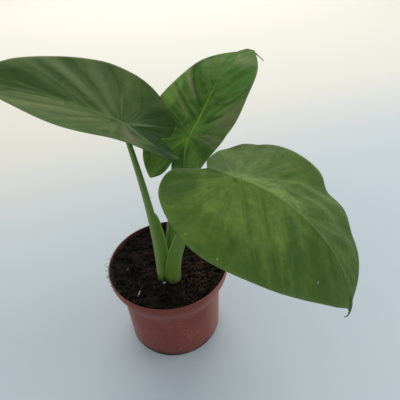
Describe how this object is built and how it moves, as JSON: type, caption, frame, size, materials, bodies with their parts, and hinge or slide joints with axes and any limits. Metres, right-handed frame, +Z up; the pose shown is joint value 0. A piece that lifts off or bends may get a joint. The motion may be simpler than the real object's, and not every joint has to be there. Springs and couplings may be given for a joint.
{
  "type": "potted alocasia",
  "caption": "Young alocasia with broad arrow-shaped leaves on fleshy stalks, growing in peat in a round plastic nursery pot that stands on its flat foot.",
  "frame": {"origin": "on the pot's axis, at the surface that the pot stands on", "axes": "+Z up along the pot's axis; +X towards the right of the picture; +Y away from the picture's viewer"},
  "size_m": [0.2795, 0.2663, 0.2962],
  "materials": {
    "pot": "satin terracotta-brown moulded plastic",
    "soil": "rough, crumbly, near-black moist peat with brown fibres",
    "crown": "pale green-brown plant stem, dull",
    "leaf": "living leaf, mid green with paler veins, satin wax sheen"
  },
  "bodies": {
    "root": {"pot": "pot", "soil": "soil", "crown": "crown", "leaf_left": "leaf", "leaf_back": "leaf", "leaf_right": "leaf"}
  },
  "joints": []
}
